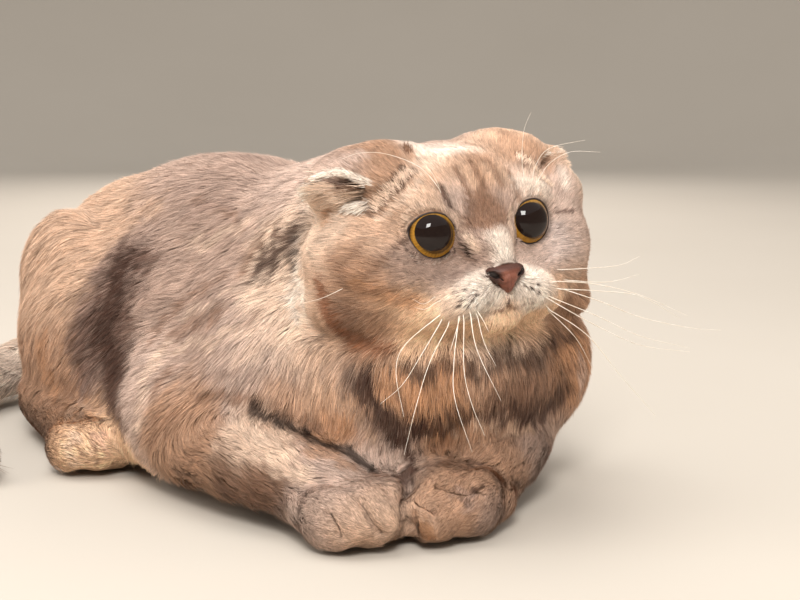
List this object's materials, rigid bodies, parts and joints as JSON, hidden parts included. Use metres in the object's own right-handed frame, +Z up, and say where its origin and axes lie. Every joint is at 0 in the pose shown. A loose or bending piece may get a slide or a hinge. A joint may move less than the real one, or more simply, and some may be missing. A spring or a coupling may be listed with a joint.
{
  "type": "scottish fold cat",
  "caption": "Short-haired folded-eared cat lying on its chest with its head raised, forepaws tucked in front and tail curled along one side.",
  "frame": {"origin": "on the floor under the belly, on the midline of the body", "axes": "+Z up, the cat faces -Y, its left side is at +X"},
  "size_m": [0.2429, 0.3644, 0.1632],
  "materials": {
    "coat": "dense plush grey-brown and cream tabby fur",
    "nose_leather": "bare moist skin",
    "eye": "glossy, wide dark pupil in an amber ring"
  },
  "bodies": {
    "root": {"head": "coat", "neck": "coat", "torso": "coat", "upper_arm_left": "coat", "upper_arm_right": "coat", "foreleg_left": "coat", "foreleg_right": "coat", "forepaw_left": "coat", "forepaw_right": "coat", "haunch_left": "coat", "haunch_right": "coat", "hind_foot_left": "coat", "hind_foot_right": "coat", "tail_base": "coat", "tail_middle": "coat", "tail_tip": "coat", "ear_left": "coat", "ear_right": "coat", "nose": "nose_leather", "eye_left": "eye", "eye_right": "eye"}
  },
  "joints": []
}
